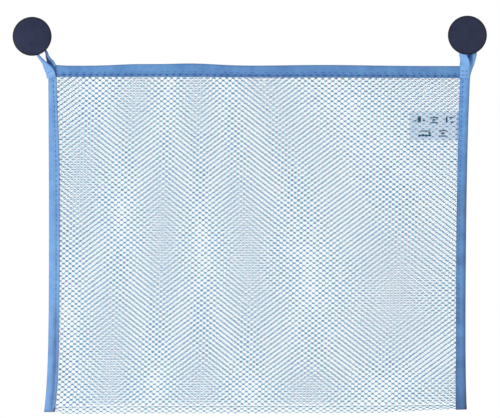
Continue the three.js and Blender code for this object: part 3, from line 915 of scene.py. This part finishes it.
def net_rings(rows, cells, place):
    """Rings around the yarns of a knitted net, the distances along them and the shares of its bars.

    Row i runs across at i times the row pitch. In each cell it swings to one side and back by a flat-topped
    wave, every second row the other way, so that rows meet in level bars with six-sided gaps between. Points
    stray by seeded chance. place(s, t) puts the point s across and t down the flat net. A ring is a diamond.
    """
    phase = (np.arange(*cells)[:, None] + KNIT_STATIONS).ravel()
    level = np.tile(KNIT_LEVELS, cells[1] - cells[0])
    rows = np.arange(*rows)
    swing = np.where(rows % 2, -1.0, 1.0)[:, None] * level
    chance = np.random.default_rng(KNIT_SEED + len(rows)).normal(size=(3, *swing.shape))
    beyond, below, uneven = np.clip(chance, -YARN_MOST, YARN_MOST)
    s = phase * CELL_PITCH + YARN_STRAY * beyond
    t = rows[:, None] * ROW_PITCH - SWING * swing + YARN_STRAY * below
    centre = place(s, t)
    along = unit(np.gradient(centre, axis=1))
    normal = unit(np.cross(along, place(s, t + NET_NEAR) - place(s, t - NET_NEAR)))
    beside = np.cross(normal, along)
    centre = centre + normal * (YARN_STEP * swing)[..., None]
    bars = np.abs(swing)
    radius = ((YARN + (BAR_YARN - YARN) * bars) * (1 + YARN_UNEVEN * uneven))[..., None]
    rings = np.stack([centre + radius * way for way in (-beside, -normal, beside, normal)], 2)
    return rings, s, np.repeat(bars[..., None], YARN_SIDES, -1)


def front_place(s, t):
    """Front net: level rows whose cells lean sideways on the way down, slow sine waves, dips at the seams."""
    z = HEM_BOTTOM - t
    x = tuck_in(INNER_LEFT + s - NET_LEAN * t, z)
    depth, across, down, start = FRONT_WAVE
    wave = depth * np.sin(x / across) * np.sin(t / down + start) * smooth(seam_distance(x, z) / FRONT_EASE)
    return hang(points_of(x, BAG_Y - NET_OFFSET + seam_dip(x, z) + wave, z))


def back_place(s, t):
    """Back net: drawn in against the front net by two quadratic forms of the shares across and down and by a
    gathered spot, a hyperbolic tangent across that fades exponentially on the way down.

    Its points solve x + gather(x, t) = s and t' + slip(x, t') = t, found by a few rounds of substitution. On
    the way to the bottom the slip settles to one row.
    """
    x = s
    down = t
    for _ in range(BACK_ROUNDS):
        a, d = x / PANEL_WIDTH, down / (HEM_BOTTOM - BAG_BOTTOM)
        spot = np.tanh((a - SPOT_PLACE) / SPOT_SPREAD) * np.exp(-d / SPOT_FADE)
        terms = np.stack([np.ones_like(a), a, d, a * a, a * d, d * d, spot])
        x = s - np.tensordot(BACK_GATHER, terms, 1) - NET_LEAN * down
        slip = np.tensordot(BACK_SLIP, terms, 1)
        settled = smooth((down / PANEL_HEIGHT - BACK_SETTLE) / (1 - BACK_SETTLE))
        down = t - slip - (ROW_PITCH - slip) * settled
    z = HEM_BOTTOM - down
    x = tuck_in(x + INNER_LEFT, z)
    return hang(points_of(x, BAG_Y + NET_OFFSET - seam_dip(x, z), z))


def fold_place(s, t):
    """Bottom of the net: as the front net, but carried down a pointed arch from the front to the back.

    At h below the straight part it is NET_OFFSET (1 - (h / FOLD_DROP)^FOLD_POWER) from the bag's middle, and
    it is drawn up to its share FOLD_SHORT within the side tapes.
    """
    straight = HEM_BOTTOM - t
    x = tuck_in(INNER_LEFT + s - NET_LEAN * t, straight)
    share = np.clip((t - PANEL_HEIGHT) / (TIP - PANEL_HEIGHT), 0, 2)
    way = (1 - np.abs(1 - share)) * FOLD_WAY[-1]
    width = np.interp(way, FOLD_WAY, FOLD_WIDTHS) * (1 - seam_dip(x, straight) / NET_OFFSET)
    ease = np.minimum((x - INNER_LEFT) / FOLD_EASE[0], (INNER_RIGHT - x) / FOLD_EASE[1])
    full = FOLD_SHORT + (1 - FOLD_SHORT) * smooth(ease + FOLD_EASED)
    z = FOLD_Z - full * np.interp(way, FOLD_WAY, FOLD_STEPS) - np.minimum(t - PANEL_HEIGHT, 0)
    return hang(points_of(x, BAG_Y + np.where(share < 1, -width, width), z))


def net_piece(name, rows, stations, cells, place, material):
    """Part of a net: the yarns of these rows between two of their stations."""
    rings, s, bars = (part[:, slice(*stations)] for part in net_rings(rows, cells, place))
    around = np.arange(YARN_SIDES + 1) / YARN_SIDES
    # the bars carry painted shade
    return swept(name, rings, s, around, material, bars, YARN_SHARP)


def loop_surface(side, shares, across):
    """Middle surface of a loop and its normals: a ribbon carried along a curve through the loop's keys.

    At a turn of 0 it lies flat to the front, at 90 it stands on edge, and past 90 its inside shows.
    """
    curve = through(LOOP_KEYS[side], shares)
    centre = curve[:, :3] * MM
    turn = np.radians(curve[:, 3])[:, None]
    forward = unit(np.gradient(centre * np.array([1, 0, 1]), axis=0))
    room = np.array([0.0, -1.0, 0.0])
    right = unit(np.cross(forward, room))
    width = right * np.cos(turn) + room * np.sin(turn)
    normal = unit(np.cross(width, np.gradient(centre, axis=0)))
    belly = LOOP_BELLY * (1 - (2 * across / LOOP_WIDTHS[side]) ** 2)
    middle = centre[:, None] + width[:, None] * across[:, None] + normal[:, None] * belly[:, None]
    return middle, np.broadcast_to(normal[:, None], middle.shape)


def loop_tape(side, material):
    """Loop: its ribbon on a grid of places along the tape and across it."""
    half = LOOP_WIDTHS[side] / 2
    across = np.linspace(-half, half, LOOP_GRID[1])
    middle, normal = loop_surface(side, np.linspace(0, 1, LOOP_GRID[0]), across)
    along = way_along(middle[:, LOOP_GRID[1] // 2])
    # painted shade at the loop's edges and on its inside, darkest at the deeper edge
    edge = bell(np.abs(across) - half, *LOOP_EDGE)
    inside = LOOP_INSIDE[0] * smooth(0.5 - LOOP_INSIDE[1] * across / LOOP_WIDTHS[side])
    name = f"{side}_hanging_loop"
    return cloth(name, middle, normal, LOOP_TAPE, along, across, material, edge, inside)


def loop_length(side):
    """Length of a loop's tape."""
    curve = through(LOOP_KEYS[side], np.linspace(0, 1, LOOP_MEASURE))[:, :3] * MM
    return float(np.linalg.norm(np.diff(curve, axis=0), axis=1).sum())


def tack_rows(side, material):
    """Short rows of stitches across the sewn end of a loop."""
    keys = LOOP_KEYS[side]
    heights = np.array([key[2] for key in keys[:3]]) * MM
    half = TACK_SPAN * LOOP_WIDTHS[side] / 2
    for number, rise in enumerate(TACK_RISES[side], 1):
        share = np.interp(HEM_BOTTOM + rise, heights, [0, 1, 2]) / (len(keys) - 1)

        def line(places, share=share):
            middle, normal = loop_surface(side, np.array([share, share + LOOP_NEAR]), places.ravel())
            normal = normal[0] * np.sign(-normal[0][:, 1:2])
            point = middle[0] + normal * (LOOP_TAPE - TAPE) / 2
            return point.reshape(*places.shape, 3), normal.reshape(*places.shape, 3)

        yield stitch_row(f"{side}_tack_{number}", line, -half, half, TACK_SEWING, material)


def turned(name, profile, axis_x, droop, material, edge_radius=None):
    """Turned piece: a ring about the axis for each point (radius, distance from the wall) of its profile.

    Its axis droops by this share of the distance from the wall. Past the edge radius it gets painted shade,
    darker outwards.
    """
    radius, depth = np.array(profile).T[..., None]
    turns = np.arange(TURN_STEPS + 1) / TURN_STEPS
    x = axis_x + radius * np.cos(turns[:-1] * TURN)
    z = radius * np.sin(turns[:-1] * TURN) - droop * depth
    painted_shade = None
    if edge_radius is not None:
        painted_shade = np.broadcast_to(smooth((radius - edge_radius) / (radius.max() - edge_radius)), x.shape)
    rings = points_of(x, -depth, z)[None]
    return swept(name, rings, way_along(profile)[None], turns, material, painted_shade, TURNED_SHARP)


def arc(radius_at, depth_at, radius, start, end, steps=9):
    """Points of a round edge in a profile; angles in degrees from the outward direction towards the room."""
    angle = np.radians(np.linspace(start, end, steps))
    return np.stack([radius_at + radius * np.cos(angle), depth_at + radius * np.sin(angle)], -1).tolist()


def bow(start, control, end, steps=14):
    """Points of a curve with one control point: start (1 - t)^2 + 2 control t (1 - t) + end t^2."""
    start, control, end = np.array([start, control, end])
    t = np.linspace(0, 1, steps)[:, None]
    return (start * (1 - t) ** 2 + 2 * control * t * (1 - t) + end * t * t).tolist()


def axis_of(node):
    """Place of a round solid's axis across the bag, and its radius."""
    low, high = corners(node)
    return (low[0] + high[0]) / 2, (high[0] - low[0]) / 2


def knob(side, material):
    """Knob: a low dome on a rounded rim, with a hollow neck behind it."""
    axis_x, radius = axis_of(f"{side}_knob")
    edge = radius - KNOB_ROUND
    front = KNOB_BACK + KNOB_EDGE
    crown = front + KNOB_CROWN
    inside = [
        (AXIS_POINT, POCKET_END), (POCKET_RADIUS, POCKET_END), (POCKET_RADIUS, KNOB_BACK),
        (BORE_RADIUS, KNOB_BACK), (BORE_RADIUS, NECK_START), (NECK_RADIUS, NECK_START),
    ]
    fillet = arc(NECK_RADIUS + NECK_FILLET, KNOB_BACK - NECK_FILLET, NECK_FILLET, 180, 90)
    back = arc(edge, KNOB_BACK + KNOB_ROUND, KNOB_ROUND, -90, 0)
    corner = arc(edge, front - KNOB_ROUND, KNOB_ROUND, 0, 90)
    face = bow((edge, front), (edge / 2, crown), (AXIS_POINT, crown), steps=24)
    profile = [*inside, *fillet, *back, *corner, *face[1:]]
    name = f"{side}_round_knob"
    return turned(name, profile, axis_x, ANCHOR_DROOP[side], material, edge - KNOB_SHADE_INSET)


def cup(side, material):
    """Suction cup: a thin lip that swells into the shoulder, a hollow under it and a stem with a barb."""
    node = f"{side}_suction_cup"
    axis_x, rim = axis_of(node)
    tip = -corners(node)[0][1]
    ring = rim - CUP_CONTACT
    barb_back = tip - BARB_LENGTH
    top = CUP_DEPTH - CUP_ROUND
    hollow = bow((AXIS_POINT, CUP_HOLLOW), (ring / 2, CUP_HOLLOW), (ring, 0.0))
    lip = arc(rim - CUP_LIP / 2, CUP_LIP / 2, CUP_LIP / 2, -90, 60)
    swell = (rim - CUP_LIP / 4, CUP_LIP), (CUP_SHOULDER + CUP_LIP, 2 * CUP_LIP), (CUP_SHOULDER, top)
    shoulder = arc(CUP_SHOULDER - CUP_ROUND, top, CUP_ROUND, 0, 90, steps=6)
    stem = [
        (STEM_RADIUS, CUP_DEPTH), (STEM_RADIUS, barb_back), (BARB_RADIUS, barb_back),
        (BARB_RADIUS, barb_back + BARB_EDGE), (STEM_RADIUS / 2, tip), (AXIS_POINT, tip),
    ]
    profile = [*hollow, *lip, *bow(*swell, steps=20)[1:], *shoulder[1:], *stem]
    return turned(f"{side}_cup", profile, axis_x, ANCHOR_DROOP[side], material)


def label(name, material):
    """Care label: a strip before the back net, curled a little at its free end and dipping into the seam."""
    along = np.linspace(LABEL_SHORT, LABEL_LENGTH, LABEL_GRID[0])[:, None]
    up = np.linspace(LABEL_RAISED, LABEL_HEIGHT, LABEL_GRID[1])
    x = LABEL_LOW[0] + along
    z = LABEL_LOW[2] + up
    rise, reach, above = LABEL_CURL
    curl = rise * smooth(1 - along / reach) * (above + (1 - above) * (1 - up / LABEL_HEIGHT))
    depth, radian, radian_up = LABEL_WAVE
    wave = depth * np.abs(np.sin(along / radian) * np.cos(up / radian_up))
    y = BAG_Y + NET_OFFSET - LABEL_CLEAR - seam_dip(x, z) - curl - wave
    middle = hang(points_of(x, y, z))
    normal = unit(np.cross(np.gradient(middle, axis=0), np.gradient(middle, axis=1)))
    return cloth(name, middle, normal, LABEL_THICK, along[:, 0], up, material)


def build_anchor(side, materials):
    """Knob, cup and loop of one side, and the stitches at the loop's end."""
    knob_piece = knob(side, materials["knob"])
    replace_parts(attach(knob_piece, f"{side}_anchor"), f"{side}_knob")
    cup_piece = cup(side, materials["cup"])
    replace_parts(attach(cup_piece, f"{side}_anchor"), f"{side}_suction_cup")
    loop = loop_tape(side, materials[f"{side}_satin_tape"])
    top, low = BAG_TOP + LOOP_BEND[0], BAG_TOP - LOOP_BEND[1]
    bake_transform(loop)
    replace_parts(loop, f"{side}_loop", f"{side}_loop_end")
    flat = (LOOP_WIDTHS[side], loop_length(side))
    for row in tack_rows(side, materials[TACK_FINISH[side]]):
        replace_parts(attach(row, "bag"), f"{side}_loop_tack")


def build_sides(materials):
    """Side tapes with their stitches, front and back."""
    ends = BAG_BOTTOM + SIDE_ENDS[0], HEM_BOTTOM - SIDE_ENDS[1]
    for side, outward in (("left", -1), ("right", 1)):
        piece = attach(side_tape(f"{side}_edge_tape", outward, materials[f"{side}_tape"]), "bag")
        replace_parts(piece, f"{side}_side_binding")
        for face, flap in (("front", -1), ("back", 1)):

            def surface(z, flap=flap, outward=outward):
                return side_surface(outward, z, flap * (flap_reach(outward, z) - SIDE_INSET[outward]))

            name = f"{side}_{face}_edge_stitches"
            row = stitch_row(name, surface, *ends, SIDE_SEWING, materials["blue_thread"])
            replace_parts(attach(row, "bag"), f"{side}_side_thread")
        reach = float(flap_reach(outward, SIDE_HEIGHTS).mean())


def build_hem(face, outward, bodies, materials):
    """Hem of one layer in two halves with their stitches; the front one, given two bodies, is only baked in
    place.
    """
    for half, sign, seam in (("left", -1, INNER_LEFT), ("right", 1, INNER_RIGHT)):
        start, end = BAG_MIDDLE, seam + sign * HEM_OVERLAP
        piece = hem_tape(f"{face}_hem_{half}", outward, start, end, materials["hem_tape"])
        rows = []
        for flap, where in ((1, "outside"), (-1, "inside")):
            for level, sewing in HEM_SEWING.items():

                def surface(x, across=flap * (HEM_REACH - HEM_INSET[level])):
                    return hem_surface(outward, x, np.full_like(x, across))

                shift = sign * LONG_STITCH / 2 * (level == "upper")
                ends = start + shift, seam - sign * HEM_END
                name = f"{face}_hem_{half}_{where}_{level}_stitches"
                row = stitch_row(name, surface, *ends, sewing, materials["dark_thread"])
                rows.append(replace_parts(row, f"{face}_hem_thread"))
        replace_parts(piece, f"{face}_hem")
        for part in (piece, *rows):
            carry(part, bodies, seam)
        flat = (2 * HEM_REACH, abs(end - start))


def carry(piece, bodies, seam):
    """Lets a piece ride on one body, or, given more, only bakes its place into its mesh; the seam is not
    used.
    """
    if len(bodies) == 1:
        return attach(piece, bodies[0])
    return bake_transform(piece)


def declare_net(stations, height):
    """Works out how much of the cut of a net this many stations wide its yarns cover, and keeps nothing of
    it.
    """
    width = stations / len(KNIT_STATIONS) * CELL_PITCH
    NET_COVER * width * height


def build_nets(material):
    """Front net in two halves, back net in three parts and the bend at the bottom."""
    first_cell = math.floor(-NET_TUCK / CELL_PITCH)
    last_cell = math.ceil((PANEL_WIDTH + NET_TUCK + NET_LEAN * PANEL_HEIGHT) / CELL_PITCH)
    first_row = -math.floor(NET_RISE / ROW_PITCH)
    last_row = round(PANEL_HEIGHT / ROW_PITCH)
    cells = (first_cell, last_cell)
    rows = (first_row, last_row)
    total = (last_cell - first_cell) * len(KNIT_STATIONS)
    middle = (last_cell - first_cell) // 2 * len(KNIT_STATIONS)
    height = (last_row - first_row) * ROW_PITCH
    halves = (("left", (0, middle + 1), INNER_LEFT), ("right", (middle, total), INNER_RIGHT))
    for half, stations, seam in halves:
        piece = net_piece(f"front_net_{half}", rows, stations, cells, front_place, material)
        carry(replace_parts(piece, "front_net"), ("bag", "front"), seam)
        declare_net(stations[1] - stations[0], height)
    fold_rows = (last_row, math.floor(2 * TIP_ROW) + 1 - last_row)
    fold = net_piece("net_bottom_fold", fold_rows, (0, total), cells, fold_place, material)
    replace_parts(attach(fold, "bag"), "net_fold")
    declare_net(total, (fold_rows[1] - fold_rows[0]) * ROW_PITCH)
    gather = float(BACK_GATHER.sum())
    back_cells = (first_cell, math.ceil((PANEL_WIDTH + gather + NET_TUCK) / CELL_PITCH) + 1)
    back_rows = (first_row, last_row + 1)
    back_total = (back_cells[1] - back_cells[0]) * len(KNIT_STATIONS)
    cuts = [0, back_total // 3, 2 * back_total // 3, back_total - 1]
    for part, start, end in zip(("left", "middle", "right"), cuts, cuts[1:]):
        piece = net_piece(f"back_net_{part}", back_rows, (start, end + 1), back_cells, back_place, material)
        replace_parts(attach(piece, "bag"), "back_net")
        declare_net(end - start, height)


def build_label(material):
    """Label, sewn into the right seam."""
    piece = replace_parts(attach(label("care_tag", material), "bag"), "care_label")


def build_floor():
    """Round floor: a square grid (s, t) drawn into a disc, x = s sqrt(1 - t t / 2) and so for y."""
    share = np.linspace(-1, 1, FLOOR_STEPS)
    s, t = np.meshgrid(share, share)
    x = FLOOR_RADIUS * s * np.sqrt(1 - t * t / 2)
    y = FLOOR_RADIUS * t * np.sqrt(1 - s * s / 2)
    points = points_of(x, y, -FLOOR_DROP)
    index = np.arange(s.size).reshape(s.shape)
    faces = np.stack([index[:-1, :-1], index[:-1, 1:], index[1:, 1:], index[1:, :-1]], -1).reshape(-1, 4)
    mesh = bpy.data.meshes.new("floor")
    mesh.from_pydata(points.reshape(-1, 3).tolist(), [], faces.tolist())
    mesh.materials.append(floor_finish())
    add_object("floor", mesh)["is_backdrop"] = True


def build_camera():
    """Camera straight before the bag, at the photograph's scale and middle."""
    data = bpy.data.cameras.new("camera")
    data.sensor_width = SENSOR_WIDTH
    data.lens = SENSOR_WIDTH * CAMERA_DISTANCE / (PHOTO_SIZE[0] * PIXEL)
    camera = add_object("camera", data)
    x = (PHOTO_SIZE[0] / 2 - MIDDLE_PIXEL[0]) * PIXEL
    z = (MIDDLE_PIXEL[1] - PHOTO_SIZE[1] / 2) * PIXEL
    camera.location = (x, BAG_Y - NET_OFFSET - CAMERA_DISTANCE, z)
    camera.rotation_euler = (math.pi / 2, 0, 0)
    bpy.context.scene.camera = camera


def build_light():
    """Soft lamps that look at the middle of the bag, and a world that looks white but lights less."""
    target = Vector((BAG_MIDDLE, BAG_Y, (BAG_TOP + BAG_BOTTOM) / 2))
    for name, (power, size, place) in LAMPS.items():
        data = bpy.data.lights.new(name, "AREA")
        data.energy = power
        data.size = size
        lamp = add_object(name, data)
        lamp.location = place
        lamp.rotation_euler = (Vector(place) - target).to_track_quat("Z", "Y").to_euler()
    world = bpy.data.worlds.new("studio")
    bpy.context.scene.world = world
    world.use_nodes = True
    world.node_tree.nodes.clear()
    graph = Graph(world.node_tree)
    soft = graph.node("Background", {}, {"Color": WHITE, "Strength": AMBIENT})
    white = graph.node("Background", {}, {"Color": WHITE, "Strength": 1.0})
    both = graph.node("MixShader", {}, {0: graph.seen(), 1: soft, 2: white})
    graph.node("OutputWorld", {}, {"Surface": both}, output=None)


def main():
    """Builds the stage and all pieces."""
    bpy.context.scene.view_settings.view_transform = "Standard"
    build_camera()
    build_light()
    build_floor()
    materials = build_finishes()
    build_nets(materials["net"])
    build_sides(materials)
    build_hem("front", -1, ("bag", "front"), materials)
    build_hem("back", 1, ("bag",), materials)
    build_anchor("left", materials)
    build_anchor("right", materials)
    build_label(materials["label"])
    sizes = {"cad": cad_box, "visual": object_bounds()}
    {name: [list(corner) for corner in box] for name, box in sizes.items()}


main()
